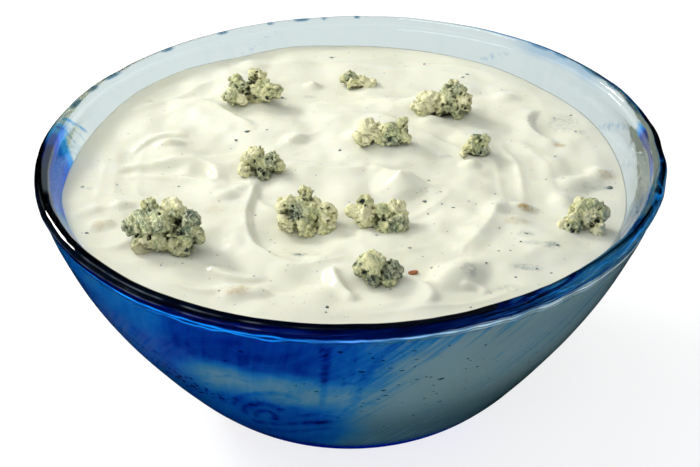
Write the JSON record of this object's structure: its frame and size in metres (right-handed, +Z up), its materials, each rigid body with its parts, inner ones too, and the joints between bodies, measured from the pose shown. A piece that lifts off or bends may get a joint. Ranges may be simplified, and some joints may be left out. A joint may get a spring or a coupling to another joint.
{
  "type": "blue cheese dip in a glass bowl",
  "caption": "Creamy blue cheese dip with a stirred, uneven top and crumbles of the cheese on it, in a round glass bowl with blue swirls, a rounded rim and a flat foot.",
  "frame": {"origin": "on the table, under the middle of the bowl", "axes": "+Z up through the bowl's axis, +X to the right in the picture, +Y away from its viewer"},
  "size_m": [0.14, 0.14, 0.0637],
  "materials": {
    "glass": "clear glass with blue swirls",
    "cream": "wet, creamy",
    "cheese": "moist, crumbly"
  },
  "bodies": {
    "root": {"bowl": "glass", "dip": "cream", "crumble_front_left": "cheese", "crumble_middle": "cheese", "crumble_middle_right": "cheese", "crumble_front": "cheese", "crumble_right": "cheese", "crumble_back_left": "cheese", "crumble_left": "cheese", "crumble_back": "cheese", "crumble_back_right": "cheese", "crumble_centre": "cheese", "crumble_small_right": "cheese"}
  },
  "joints": []
}
